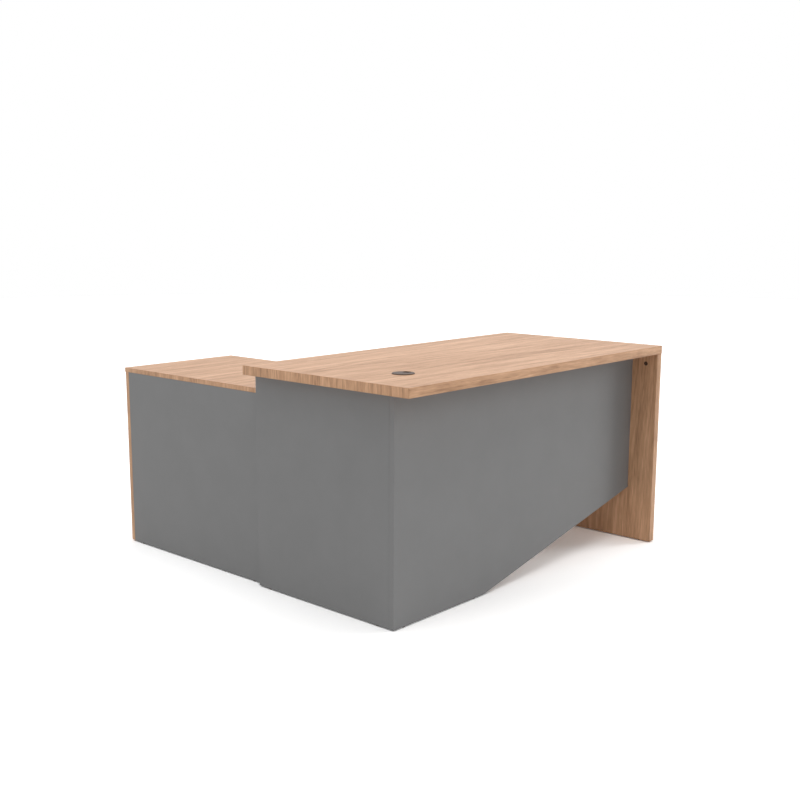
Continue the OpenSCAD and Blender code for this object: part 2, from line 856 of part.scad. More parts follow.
module drawer_rails(level) {
    color(metal_c) plan() rail(drawer_section, level, box_l, 0);
}

module drawer_front(level) {
    color(wood_c) plan() difference() {
        translate([front_x, front_y, front_z(level)]) board([board_t, front_w, front_h(level)], thin_r);
        translate([front_x - eps, box_y + side_t - groove, box_z(level) + base_lift])
            cube([groove + eps, box_w - 2 * (side_t - groove), base_t + groove_play]);
        if (level == UPPER)
            translate([front_x - eps, drawer_mid, lock_z]) rotate([0, 90, 0])
                cylinder(d = lock_d + 2 * fit_play, h = board_t + 2 * eps);
    }
}

module drawer_side(level, far) {
    color(inner_c) plan() difference() {
        translate([box_x, far ? box_y + box_w - side_t : box_y, box_z(level)])
            cube([box_l, side_t, box_h(level)]);
        translate([box_x - eps, box_y + side_t - groove, box_z(level) + base_lift])
            cube([box_l + 2 * eps, box_w - 2 * (side_t - groove), base_t + groove_play]);
    }
}

module drawer_back(level) {
    z = base_lift + base_t + groove_play;
    color(inner_c) plan() translate([box_x, box_y + side_t, box_z(level) + z])
        cube([side_t, box_w - 2 * side_t, box_h(level) - z]);
}

module drawer_base(level) {
    play = 0.3;
    color(inner_c) plan()
        translate([box_x, box_y + side_t - groove + play, box_z(level) + base_lift])
            cube([box_l + groove - play, box_w - 2 * (side_t - groove + play), base_t]);
}

module drawer_handle(level) {
    color(metal_c) plan()
        translate([front_x + board_t, drawer_mid, front_z(level) + front_h(level) - shallow_h / 2])
            rotate([0, 90, 0]) rotate(90) rod_handle();
}

desk_top();
right_gable();
modesty_panel();
side_panel();
outlet_sleeve();
outlet_cap();
floor_glides();
cam_locks();
cam_bolts();
wood_dowels();
link_screws();
return_top();
return_back();
return_end_panel();
return_near_panel();
near_divider();
far_divider();
return_bottom();
plinth_rail();
niche_shelf();
cupboard_shelf();
shelf_pins();
cupboard_door();
door_handle();
door_hinge_leaves();
frame_hinge_leaves();
hinge_pins();
catch_housing();
catch_magnet();
catch_plate();
lock_housing();
lock_barrel();
drawer_front(UPPER);  // upper_drawer_front
drawer_side(UPPER, false);  // upper_drawer_near_side
drawer_side(UPPER, true);  // upper_drawer_far_side
drawer_back(UPPER);  // upper_drawer_back
drawer_base(UPPER);  // upper_drawer_base
drawer_handle(UPPER);  // upper_drawer_handle
drawer_rails(UPPER);  // upper_drawer_rails
intermediate_rails(UPPER);  // upper_intermediate_rails
cabinet_rails(UPPER);  // upper_cabinet_rails
drawer_front(MIDDLE);  // middle_drawer_front
drawer_side(MIDDLE, false);  // middle_drawer_near_side
drawer_side(MIDDLE, true);  // middle_drawer_far_side
drawer_back(MIDDLE);  // middle_drawer_back
drawer_base(MIDDLE);  // middle_drawer_base
drawer_handle(MIDDLE);  // middle_drawer_handle
drawer_rails(MIDDLE);  // middle_drawer_rails
intermediate_rails(MIDDLE);  // middle_intermediate_rails
cabinet_rails(MIDDLE);  // middle_cabinet_rails
drawer_front(LOWER);  // lower_drawer_front
drawer_side(LOWER, false);  // lower_drawer_near_side
drawer_side(LOWER, true);  // lower_drawer_far_side
drawer_back(LOWER);  // lower_drawer_back
drawer_base(LOWER);  // lower_drawer_base
drawer_handle(LOWER);  // lower_drawer_handle
drawer_rails(LOWER);  // lower_drawer_rails
intermediate_rails(LOWER);  // lower_intermediate_rails
cabinet_rails(LOWER);  // lower_cabinet_rails
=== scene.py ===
"""Dresses the L-shaped desk, adds its small fasteners and sets it in a plain studio.

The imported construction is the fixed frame. Lengths are in metres in the desk's own frame: X runs
along the main worktop, Y from the visitor's side towards the far end of the return, and Z is up.
"""

import logging
import math
from collections.abc import Iterable, Mapping, Sequence
from dataclasses import dataclass
from enum import Enum

import bmesh
import bpy
from mathutils import Matrix, Vector


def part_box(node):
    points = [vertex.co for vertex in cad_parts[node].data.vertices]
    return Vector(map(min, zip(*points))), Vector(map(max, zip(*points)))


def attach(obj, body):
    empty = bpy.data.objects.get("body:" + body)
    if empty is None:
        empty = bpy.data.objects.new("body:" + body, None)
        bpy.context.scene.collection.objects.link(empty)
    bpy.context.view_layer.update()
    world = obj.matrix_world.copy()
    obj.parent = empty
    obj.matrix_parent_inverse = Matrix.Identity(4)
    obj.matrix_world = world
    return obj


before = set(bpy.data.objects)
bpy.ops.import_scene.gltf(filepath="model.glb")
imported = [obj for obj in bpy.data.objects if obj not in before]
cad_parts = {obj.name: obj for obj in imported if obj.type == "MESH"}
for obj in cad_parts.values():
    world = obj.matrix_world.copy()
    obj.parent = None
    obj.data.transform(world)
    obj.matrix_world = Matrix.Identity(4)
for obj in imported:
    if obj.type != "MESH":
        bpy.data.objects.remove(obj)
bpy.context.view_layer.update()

LOG = logging.getLogger("desk")
MM = 0.001

# Tone round which patterns are added up, and the tones that take a ramp's first and last colour
MIDDLE_TONE = 0.5
TONE_RANGE = (0.2, 0.8)
# How far each sheet of decor shifts the noise, counted in its spots
SHEET_SHIFT = (7.3, 3.1, 5.7)
NOISE_ROUGHNESS = 0.55
# Angle between faces up to which a surface shades as smooth
SMOOTH_ANGLE = math.radians(35)

Socket = bpy.types.NodeSocket
Value = Socket | float
Colour = tuple[float, float, float]
Tint = Socket | tuple[float, float, float, float]
Sizes = tuple[float, float, float]
Spot = tuple[float, float, float]
Corner = bmesh.types.BMVert


class Wiring:
    """A node tree in the making, with short calls for what the finishes share."""

    def __init__(self, tree: bpy.types.NodeTree) -> None:
        """Takes the node tree of a material or of the world, and empties it."""
        self.tree = tree
        tree.nodes.clear()

    def node(
        self, kind: str, inputs: Mapping[int | str, object] | None = None, **settings: object
    ) -> bpy.types.Node:
        """Adds a node, sets its properties, and joins or fills its inputs.

        Args:
            kind: The node's type.
            inputs: A socket or a plain value for each input, by the input's name or number.
            settings: The node's own properties.

        Returns:
            The new node.
        """
        made = self.tree.nodes.new(kind)
        for name, value in settings.items():
            setattr(made, name, value)
        for key, value in (inputs or {}).items():
            if isinstance(value, Socket):
                self.tree.links.new(value, made.inputs[key])
            else:
                made.inputs[key].default_value = value
        return made

    def math(self, operation: str, *values: Value) -> Socket:
        """Adds a sum of the kind that Blender names so, over sockets and numbers."""
        return self.node("ShaderNodeMath", dict(enumerate(values)), operation=operation).outputs[0]

    def split(self, vector: Socket) -> list[Socket]:
        """Splits a vector into its X, Y and Z."""
        return list(self.node("ShaderNodeSeparateXYZ", {0: vector}).outputs)

    def noise(
        self, place: Sequence[Value], size: Sizes, sheet: int = 0, detail: float = 2.0
    ) -> Socket:
        """Adds noise with spots of a given size.

        Args:
            place: The three directions of the pattern.
            size: The spots' size along each of them.
            sheet: The sheet that the pattern comes from, which shifts it.
            detail: How many finer layers the noise has.

        Returns:
            The noise, about 0.5 on average.
        """
        spot = self.node("ShaderNodeCombineXYZ", dict(enumerate(place))).outputs[0]
        scale = tuple(1 / length for length in size)
        shift = tuple(sheet * step for step in SHEET_SHIFT)
        scaled = self.node(
            "ShaderNodeVectorMath", {0: spot, 1: scale, 2: shift}, operation="MULTIPLY_ADD"
        ).outputs[0]
        inputs = {"Vector": scaled, "Scale": 1.0, "Detail": detail, "Roughness": NOISE_ROUGHNESS}
        return self.node("ShaderNodeTexNoise", inputs).outputs[0]

    def tone(self, parts: Iterable[tuple[Socket, float]]) -> Value:
        """Adds patterns up round the middle tone.

        Args:
            parts: Each pattern with its weight.

        Returns:
            The tone.
        """
        total: Value = MIDDLE_TONE
        for pattern, weight in parts:
            centred = self.math("SUBTRACT", pattern, MIDDLE_TONE)
            total = self.math("MULTIPLY_ADD", centred, weight, total)
        return total

    def span(
        self, value: Value, low: float, high: float, start: float = 0.0, end: float = 1.0
    ) -> Socket:
        """Maps low to start and high to end, and keeps the result between those."""
        inputs = {0: value, 1: low, 2: high, 3: start, 4: end}
        return self.node("ShaderNodeMapRange", inputs).outputs[0]

    def ramp(self, tone: Value, colours: Sequence[Colour]) -> Socket:
        """Turns a tone into a colour.

        Args:
            tone: The tone.
            colours: The colours, darkest first, spread evenly over the range of tones.

        Returns:
            The colour.
        """
        made = self.node("ShaderNodeValToRGB", {0: tone})
        stops = made.color_ramp.elements
        first, last = TONE_RANGE
        step = (last - first) / (len(colours) - 1)
        while len(stops) < len(colours):
            stops.new(MIDDLE_TONE)
        for index, colour in enumerate(colours):
            stops[index].position = first + index * step
            stops[index].color = (*colour, 1.0)
        return made.outputs[0]

    def mix(self, factor: Value, first: Tint, second: Tint) -> Socket:
        """Mixes two colours by the second one's share."""
        inputs = {0: factor, 6: first, 7: second}
        return self.node("ShaderNodeMix", inputs, data_type="RGBA").outputs[2]

    def choose(self, factor: Value, first: Value, second: Value) -> Socket:
        """Mixes two numbers by the second one's share."""
        return self.node("ShaderNodeMix", {0: factor, 2: first, 3: second}).outputs[0]

    def surface(
        self, colour: Socket, roughness: Socket, height: Socket, relief: float, **fixed: float
    ) -> None:
        """Closes a material with its shader.

        Args:
            colour: The base colour.
            roughness: The roughness.
            height: The texture's height, from 0 to 1.
            relief: How deep the texture is.
            fixed: What is the same all over, by the shader's input name with _ for a space.
        """
        bump = self.node("ShaderNodeBump", {"Strength": 1.0, "Distance": relief, "Height": height})
        inputs = {"Base Color": colour, "Roughness": roughness, "Normal": bump.outputs[0]}
        inputs.update({name.replace("_", " "): value for name, value in fixed.items()})
        shader = self.node("ShaderNodeBsdfPrincipled", inputs)
        self.node("ShaderNodeOutputMaterial", {0: shader.outputs[0]})

    def seen(self) -> Socket:
        """Tells rays that look, straight or by a reflection, from those that only carry light.

        Returns:
            1 for rays that look, and 0 for the others.
        """
        path = self.node("ShaderNodeLightPath").outputs
        looking = self.math("MAXIMUM", path["Is Camera Ray"], path["Is Glossy Ray"])
        return self.math("MAXIMUM", looking, path["Is Transmission Ray"])


@dataclass(frozen=True)
class Finish:
    """A surface of the desk.

    Attributes:
        name: The material's name.
        slot: The record's material slot that the finish belongs to; the script does not use it.
    """

    name: str
    slot: str

    def material(self) -> bpy.types.Material:
        """Gives the finish's material, which is made on first use.

        Returns:
            The material.
        """
        made = bpy.data.materials.get(self.name)
        if made is None:
            made = bpy.data.materials.new(self.name)
            made.use_nodes = True
            self.wire(Wiring(made.node_tree))
        return made

    def wire(self, tree: Wiring) -> None:
        """Wires the surface, which each kind of finish does in its own way."""
        raise NotImplementedError


class Lay(Enum):
    """How a board lies: its axes along the grain, across it and through the board."""

    FLAT_ALONG_X = (0, 1, 2)
    FLAT_ALONG_Y = (1, 0, 2)
    UPRIGHT_FACING_X = (2, 1, 0)
    UPRIGHT_FACING_Y = (2, 0, 1)


@dataclass(frozen=True)
class Layer:
    """One layer of a decor's pattern.

    Attributes:
        size: Size of its spots in the pattern's three directions.
        weight: Its weight in the tone, or how far it shifts or darkens the rest.
        detail: How many finer layers it has.
    """

    size: Sizes
    weight: float
    detail: float = 2.0

    def pattern(self, tree: Wiring, place: Sequence[Value], sheet: int) -> Socket:
        """Wires the pattern, about 0.5 on average, in three directions and from one sheet."""
        return tree.noise(place, self.size, sheet, self.detail)


def fine(size: float) -> Sizes:
    """Gives a texture the same size all ways."""
    return (size, size, size)


def streaks(length: float, width: float) -> Sizes:
    """Gives a pattern one size along the grain and another across and through the board."""
    return (length, width, width)


@dataclass(frozen=True)
class WoodDecor(Finish):
    """Walnut decor on a board, with the same print on its edging, across it on the short edges.

    Attributes:
        lay: How the board lies.
        sheet: The sheet of decor that the board is cut from.
        faces: Places of the board's two faces, through the board.
        crown: Where the figure's arches peak, along the grain and across it.
        tones: Colours of the print, darkest first.
        bands: Bands of tone along the grain, from the longest to the shortest.
        fibres: Short fibres along the grain.
        fibre_height: How far the fibres stand up, as a share of the pores' depth.
        pores: Fine pores, with how much they darken the print.
        pore_range: Where in their pattern the pores start and are full.
        pore_colour: Colour of the pores and of the joints.
        pore_roughness: How much rougher a pore is than the print.
        sway: How the grain wanders sideways, with how far.
        rings: Growth rings that make the arches, broad ones and narrow ones.
        figure: Weight of the arches in the tone.
        heart_depth: How deep the trunk's heart lies under the board's face.
        taper: How fast the trunk narrows along the grain.
        edge_lines: Lines across the short edges, fine ones and broad ones.
        short_edge_from: How squarely a surface faces along the grain to count as a short edge.
        flat_from: How squarely a surface faces one way to count as flat, not as a rounded arris.
        edging_below: How squarely a surface may face the faces' way and still count as edging.
        joint_width: Width of the glue joints between the board's faces and its edging.
        joint_darkness: How much a joint darkens the print.
        roughness: Roughness of the darkest and of the lightest tones.
        relief: Depth of the pores.
        ior: Index of refraction.
    """

    lay: Lay
    sheet: int
    faces: tuple[float, float]
    crown: tuple[float, float]
    tones: tuple[Colour, ...] = (
        (0.382, 0.207, 0.112), (0.519, 0.291, 0.163), (0.612, 0.352, 0.202), (0.726, 0.435, 0.262),
    )
    bands: tuple[Layer, ...] = (
        Layer(streaks(1.1, 0.1), 0.4),
        Layer(streaks(0.7, 24 * MM), 0.7, 3.0),
        Layer(streaks(0.24, 30 * MM), 0.35),
        Layer(streaks(0.16, 7 * MM), 0.6),
    )
    fibres: Layer = Layer(streaks(0.05, 3.6 * MM), 0.7)
    fibre_height: float = 0.5
    pores: Layer = Layer(streaks(0.05, 0.9 * MM), 0.22, 1.0)
    pore_range: tuple[float, float] = (0.6, 0.74)
    pore_colour: tuple[float, float, float, float] = (0.26, 0.135, 0.07, 1.0)
    pore_roughness: float = 0.1
    sway: Layer = Layer(streaks(0.45, 0.12), 30 * MM)
    rings: tuple[Layer, Layer] = (Layer((1.2, 26 * MM, 1.0), 0.4), Layer((1.2, 9 * MM, 1.0), 0.6))
    figure: float = 1.0
    heart_depth: float = 24 * MM
    taper: float = 0.1
    edge_lines: tuple[Layer, ...] = (
        Layer((4.5 * MM, 0.06, 0.5), 1.25, 3.0),
        Layer((28 * MM, 0.2, 0.5), 0.9),
    )
    short_edge_from: float = 0.72
    flat_from: float = 0.97
    edging_below: float = 0.5
    joint_width: float = 1.2 * MM
    joint_darkness: float = 0.2
    roughness: tuple[float, float] = (0.46, 0.38)
    relief: float = 0.05 * MM
    ior: float = 1.4

    def wire(self, tree: Wiring) -> None:
        """Wires the print, its pores, the lines across the short edges and the joints.

        Args:
            tree: The material's empty node tree.
        """
        place = tree.node("ShaderNodeTexCoord").outputs
        spot = tree.split(place["Object"])
        facing = [tree.math("ABSOLUTE", part) for part in tree.split(place["Normal"])]
        along, across, through = (spot[axis] for axis in self.lay.value)
        sway = self.sway.pattern(tree, (along, across, through), self.sheet)
        aside = tree.math("SUBTRACT", sway, MIDDLE_TONE)
        swayed = tree.math("MULTIPLY_ADD", aside, self.sway.weight, across)
        grain = (along, swayed, through)
        fibres = self.fibres.pattern(tree, grain, self.sheet)
        print_parts = self.weigh(tree, grain, self.bands)
        print_parts.append((self.arches(tree, along, swayed), self.figure))
        print_parts.append((fibres, self.fibres.weight))
        edge_parts = self.weigh(tree, (across, through, along), self.edge_lines)
        short_edge = tree.math("GREATER_THAN", facing[self.lay.value[0]], self.short_edge_from)
        tone = tree.choose(short_edge, tree.tone(print_parts), tree.tone(edge_parts))
        pores = tree.span(self.pores.pattern(tree, grain, self.sheet), *self.pore_range)
        darker = tree.math("MULTIPLY", pores, self.pores.weight)
        porous = tree.mix(darker, tree.ramp(tone, self.tones), self.pore_colour)
        joint = tree.math("MULTIPLY", self.joints(tree, through, facing), self.joint_darkness)
        colour = tree.mix(joint, porous, self.pore_colour)
        rougher = tree.math("MULTIPLY", pores, self.pore_roughness)
        roughness = tree.math("ADD", tree.span(tone, *TONE_RANGE, *self.roughness), rougher)
        height = tree.math("SUBTRACT", tree.math("MULTIPLY", fibres, self.fibre_height), pores)
        tree.surface(colour, roughness, height, self.relief, IOR=self.ior)

    def weigh(
        self, tree: Wiring, place: Sequence[Value], layers: Iterable[Layer]
    ) -> list[tuple[Socket, float]]:
        """Wires layers of the pattern, and gives each with its weight."""
        return [(layer.pattern(tree, place, self.sheet), layer.weight) for layer in layers]

    def joints(self, tree: Wiring, through: Socket, facing: Sequence[Socket]) -> Socket:
        """Wires the rounded arrises and the glue joints between the board's faces and its edging.

        Args:
            tree: The material's node tree.
            through: Place through the board.
            facing: How squarely the surface faces along each axis.

        Returns:
            1 on the arrises and joints, and 0 elsewhere.
        """
        flattest = tree.math("MAXIMUM", tree.math("MAXIMUM", facing[0], facing[1]), facing[2])
        arris = tree.math("LESS_THAN", flattest, self.flat_from)
        low, high = self.faces
        below, above = tree.math("SUBTRACT", through, low), tree.math("SUBTRACT", high, through)
        depth = tree.math("MINIMUM", below, above)
        near_face = tree.span(depth, self.joint_width, 2 * self.joint_width, 1.0, 0.0)
        edging = tree.math("LESS_THAN", facing[self.lay.value[2]], self.edging_below)
        return tree.math("MAXIMUM", arris, tree.math("MULTIPLY", near_face, edging))

    def arches(self, tree: Wiring, along: Socket, across: Socket) -> Socket:
        """Wires the arches that a board cut beside the heart of the trunk shows.

        Args:
            tree: The material's node tree.
            along: Place along the grain.
            across: Place across the grain, with its sway.

        Returns:
            The arches, about 0.5 on average.
        """
        peak_along, peak_across = self.crown
        aside = tree.math("SUBTRACT", across, peak_across)
        squared = tree.math("MULTIPLY_ADD", aside, aside, self.heart_depth**2)
        radius = tree.math("SQRT", squared)
        lean = tree.math("MULTIPLY", tree.math("SUBTRACT", along, peak_along), self.taper)
        grown = tree.math("SUBTRACT", radius, lean)
        rings = self.weigh(tree, (along, grown, 0.0), self.rings)
        broad, narrow = (tree.math("MULTIPLY", pattern, weight) for pattern, weight in rings)
        return tree.math("ADD", broad, narrow)


@dataclass(frozen=True)
class Textured(Finish):
    """A melamine, plastic, metal or rubber: slow clouds of tone under a fine texture.

    Attributes:
        dark: Colour of the darkest clouds.
        light: Colour of the lightest clouds.
        roughness: Roughness of the smoothest and of the roughest spots.
        grain: Size of the texture along X, Y and Z.
        relief: Depth of the texture.
        cloud: Size of the clouds.
        texture_weight: Weight of the texture in the tone, in which the clouds have a weight of 1.
        metallic: 1 for a metal and 0 for anything else.
        ior: Index of refraction, lower for a duller surface.
    """

    dark: Colour
    light: Colour
    roughness: tuple[float, float]
    grain: Sizes
    relief: float
    cloud: float = 0.12
    texture_weight: float = 0.7
    metallic: float = 0.0
    ior: float = 1.5

    def wire(self, tree: Wiring) -> None:
        """Wires the clouds and the texture.

        Args:
            tree: The material's empty node tree.
        """
        place = tree.split(tree.node("ShaderNodeTexCoord").outputs["Object"])
        clouds = tree.noise(place, fine(self.cloud), detail=3.0)
        texture = tree.noise(place, self.grain)
        tone = tree.tone(((clouds, 1.0), (texture, self.texture_weight)))
        colour = tree.ramp(tone, (self.dark, self.light))
        roughness = tree.span(tone, *TONE_RANGE, *self.roughness)
        tree.surface(colour, roughness, texture, self.relief, Metallic=self.metallic, IOR=self.ior)


GREY_MELAMINE = Textured(
    "grey_melamine", "grey_board", dark=(0.222, 0.222, 0.222), light=(0.24, 0.24, 0.24),
    roughness=(0.44, 0.52), grain=fine(0.9 * MM), relief=0.04 * MM, ior=1.25,
)
WHITE_MELAMINE = Textured(
    "pale_drawer_board", "drawer_board", dark=(0.70, 0.69, 0.66), light=(0.77, 0.76, 0.73),
    roughness=(0.42, 0.5), grain=fine(0.6 * MM), relief=0.02 * MM,
)
DARK_PLASTIC = Textured(
    "dark_moulded_plastic", "dark_plastic", dark=(0.072, 0.046, 0.034), light=(0.098, 0.064, 0.048),
    roughness=(0.4, 0.5), grain=fine(0.5 * MM), relief=0.03 * MM, cloud=0.03, ior=1.3,
)
BLACK_RUBBER = Textured(
    "black_rubber", "dark_plastic", dark=(0.018, 0.018, 0.018), light=(0.03, 0.03, 0.03),
    roughness=(0.62, 0.75), grain=fine(0.3 * MM), relief=0.02 * MM, cloud=0.01,
)
# Zinc fittings coloured dark brown: painted shade. The dark colour stands in for the shade that the
# cams lie in, and the lock and shelf pins take it too.
SHADE_DARKENED_ZINC = Textured(
    "zinc_darkened_as_painted_shade", "zinc_fittings", dark=(0.085, 0.050, 0.032), light=(0.17, 0.11, 0.075),
    roughness=(0.36, 0.52), grain=fine(0.5 * MM), relief=0.03 * MM, cloud=0.008, metallic=1.0,
)
PLATED_STEEL = Textured(
    "rolled_plated_steel", "plated_steel", dark=(0.57, 0.58, 0.60), light=(0.66, 0.67, 0.68),
    roughness=(0.3, 0.38), grain=streaks(30 * MM, 0.4 * MM), relief=0.003 * MM, cloud=0.03,
    metallic=1.0,
)
SATIN_ALUMINIUM = Textured(
    "brushed_aluminium", "satin_handles", dark=(0.60, 0.60, 0.61), light=(0.72, 0.72, 0.73),
    roughness=(0.26, 0.38), grain=(12 * MM, 0.25 * MM, 12 * MM), relief=0.01 * MM, cloud=0.04,
    metallic=1.0,
)
BEECH = Textured(
    "turned_beech", "beech_dowels", dark=(0.47, 0.30, 0.17), light=(0.62, 0.43, 0.27),
    roughness=(0.5, 0.62), grain=fine(1.2 * MM), relief=0.05 * MM, cloud=0.006,
)


class Form:
    """A small piece in the making, built of turned forms and recesses."""

    def __init__(self) -> None:
        """Starts with an empty mesh."""
        self.mesh = bmesh.new()

    def ring(self, radius: float, height: float, sides: int, place: Matrix) -> list[Corner]:
        """Adds a ring of points round the Z axis, or a single point on it.

        Args:
            radius: The ring's radius, or 0 for a point.
            height: The ring's height.
            sides: How many points the ring has.
            place: Where the form stands.

        Returns:
            The points.
        """
        if radius == 0:
            return [self.mesh.verts.new(place @ Vector((0, 0, height)))]
        corners = []
        for index in range(sides):
            turn = 2 * math.pi * index / sides
            spot = Vector((radius * math.cos(turn), radius * math.sin(turn), height))
            corners.append(self.mesh.verts.new(place @ spot))
        return corners

    def join(self, lower: Sequence[Corner], upper: Sequence[Corner]) -> None:
        """Spans faces between two neighbouring rings.

        Args:
            lower: The ring nearer the form's foot.
            upper: The next ring.
        """
        count = max(len(lower), len(upper))
        for index in range(count):
            following = (index + 1) % count
            if len(lower) == 1:
                corners = [lower[0], upper[following], upper[index]]
            elif len(upper) == 1:
                corners = [lower[index], lower[following], upper[0]]
            else:
                corners = [lower[index], lower[following], upper[following], upper[index]]
            self.mesh.faces.new(corners)

    def turned(
        self, outline: Sequence[tuple[float, float]], place: Matrix, sides: int
    ) -> list[Corner]:
        """Adds a turned form.

        Args:
            outline: Radius and height of each ring, from the foot's middle up.
            place: Where the form stands.
            sides: How many sides the form has.

        Returns:
            The last ring.
        """
        rings = [self.ring(radius, height, sides, place) for radius, height in outline]
        for lower, upper in zip(rings, rings[1:]):
            self.join(lower, upper)
        return rings[-1]

    def piece(self, name: str) -> bpy.types.Object:
        """Turns the mesh into an object.

        Args:
            name: The object's name.

        Returns:
            The object.
        """
        mesh = bpy.data.meshes.new(name)
        self.mesh.normal_update()
        self.mesh.to_mesh(mesh)
        self.mesh.free()
        mesh.shade_smooth()
        mesh.set_sharp_from_angle(angle=SMOOTH_ANGLE)
        piece = bpy.data.objects.new(name, mesh)
        bpy.context.scene.collection.objects.link(piece)
        return piece


@dataclass(frozen=True)
class CrossHead:
    """Head of a cross-recessed screw.

    Attributes:
        radius: Radius of the head.
        rise: How far the head stands out of the face it sits on.
        sunk: How far its foot lies below that face.
        sides: How many sides it has, two for each corner of the cross.
        foot: Radius of its foot, as a share of its radius.
        profile: Radius and height of each ring above the foot, as shares of its radius and rise.
        arm: Length of the cross's arms, as a share of its radius.
        arm_width: Width of the arms, as a share of its radius.
        draft: Size of the recess's floor, as a share of the cross's size at the crown.
        floor: Height of the recess's floor, as a share of its rise.
    """

    radius: float
    rise: float
    sunk: float = 0.1 * MM
    sides: int = 24
    foot: float = 0.96
    profile: tuple[tuple[float, float], ...] = ((1.0, 0.45), (0.94, 0.85), (0.82, 1.0))
    arm: float = 0.56
    arm_width: float = 0.2
    draft: float = 0.72
    floor: float = 0.12

    def cross(self, form: Form, scale: float, height: float, place: Matrix) -> list[Corner]:
        """Adds the twelve corners of the recess at one height.

        Args:
            form: The piece that the head belongs to.
            scale: The cross's size, as a share of its size at the crown.
            height: The height.
            place: Where the head sits.

        Returns:
            The corners, two for each arm and one between arms.
        """
        arm, half = self.radius * self.arm * scale, self.radius * self.arm_width * scale / 2
        corners = []
        for quarter in range(4):
            turned = place @ Matrix.Rotation(quarter * math.pi / 2, 4, "Z")
            for x, y in ((arm, -half), (arm, half), (half, half)):
                corners.append(form.mesh.verts.new(turned @ Vector((x, y, height))))
        return corners

    def add(self, form: Form, place: Matrix) -> None:
        """Adds the head to a piece.

        Args:
            form: The piece.
            place: Where the head sits, with Z out of the face.
        """
        outline = [(0.0, -self.sunk), (self.radius * self.foot, -self.sunk)]
        outline.extend((self.radius * width, self.rise * height) for width, height in self.profile)
        crown = form.turned(outline, place, self.sides)
        upper_cross = self.cross(form, 1.0, self.rise, place)
        lower_cross = self.cross(form, self.draft, self.rise * self.floor, place)
        self.fill_crown(form, crown, upper_cross)
        form.join(upper_cross, lower_cross)
        self.fill_floor(form, lower_cross)

    def fill_crown(self, form: Form, crown: Sequence[Corner], cross: Sequence[Corner]) -> None:
        """Spans the flat crown between the head's last ring and the recess.

        Args:
            form: The piece.
            crown: The last ring, with two points for each corner of the cross.
            cross: The recess's upper corners.
        """
        count = len(cross)
        for index, corner in enumerate(cross):
            following = cross[(index + 1) % count]
            start = 2 * index - 1
            outer = [crown[(start + step) % len(crown)] for step in range(3)]
            form.mesh.faces.new([corner, outer[0], outer[1]])
            form.mesh.faces.new([corner, outer[1], outer[2], following])

    def fill_floor(self, form: Form, cross: Sequence[Corner]) -> None:
        """Closes the recess's floor with a square and four arms.

        Args:
            form: The piece.
            cross: The recess's lower corners.
        """
        inner = cross[2::3]
        form.mesh.faces.new(inner)
        for quarter in range(4):
            form.mesh.faces.new(
                [inner[quarter - 1], cross[3 * quarter], cross[3 * quarter + 1], inner[quarter]]
            )


@dataclass(frozen=True)
class Bumper:
    """Soft domed bumper that a front closes against.

    Attributes:
        radius: Radius of the bumper.
        rise: How far it stands out of the face it sits on.
        sunk: How far its foot lies below that face.
        sides: How many sides it has.
        profile: Radius and height of each ring above the foot, as shares of its radius and rise.
    """

    radius: float = 4 * MM
    rise: float = 1.2 * MM
    sunk: float = 0.1 * MM
    sides: int = 24
    profile: tuple[tuple[float, float], ...] = ((1.0, 0.45), (0.9, 0.8), (0.6, 1.0), (0.0, 1.0))

    def add(self, form: Form, place: Matrix) -> None:
        """Adds the bumper to a piece.

        Args:
            form: The piece.
            place: Where the bumper sits, with Z out of the face.
        """
        outline = [(0.0, -self.sunk), (self.radius, -self.sunk)]
        outline.extend((self.radius * width, self.rise * height) for width, height in self.profile)
        form.turned(outline, place, self.sides)


class Facing(Enum):
    """Directions that small pieces face."""

    RIGHT = (1, 0, 0)
    LEFT = (-1, 0, 0)
    FAR = (0, 1, 0)
    NEAR = (0, -1, 0)

    def at(self, spot: Spot) -> Matrix:
        """Gives the place of a piece that sits at a spot and faces this way."""
        turn = Vector(self.value).to_track_quat("Z", "Y").to_matrix().to_4x4()
        return Matrix.Translation(Vector(spot)) @ turn


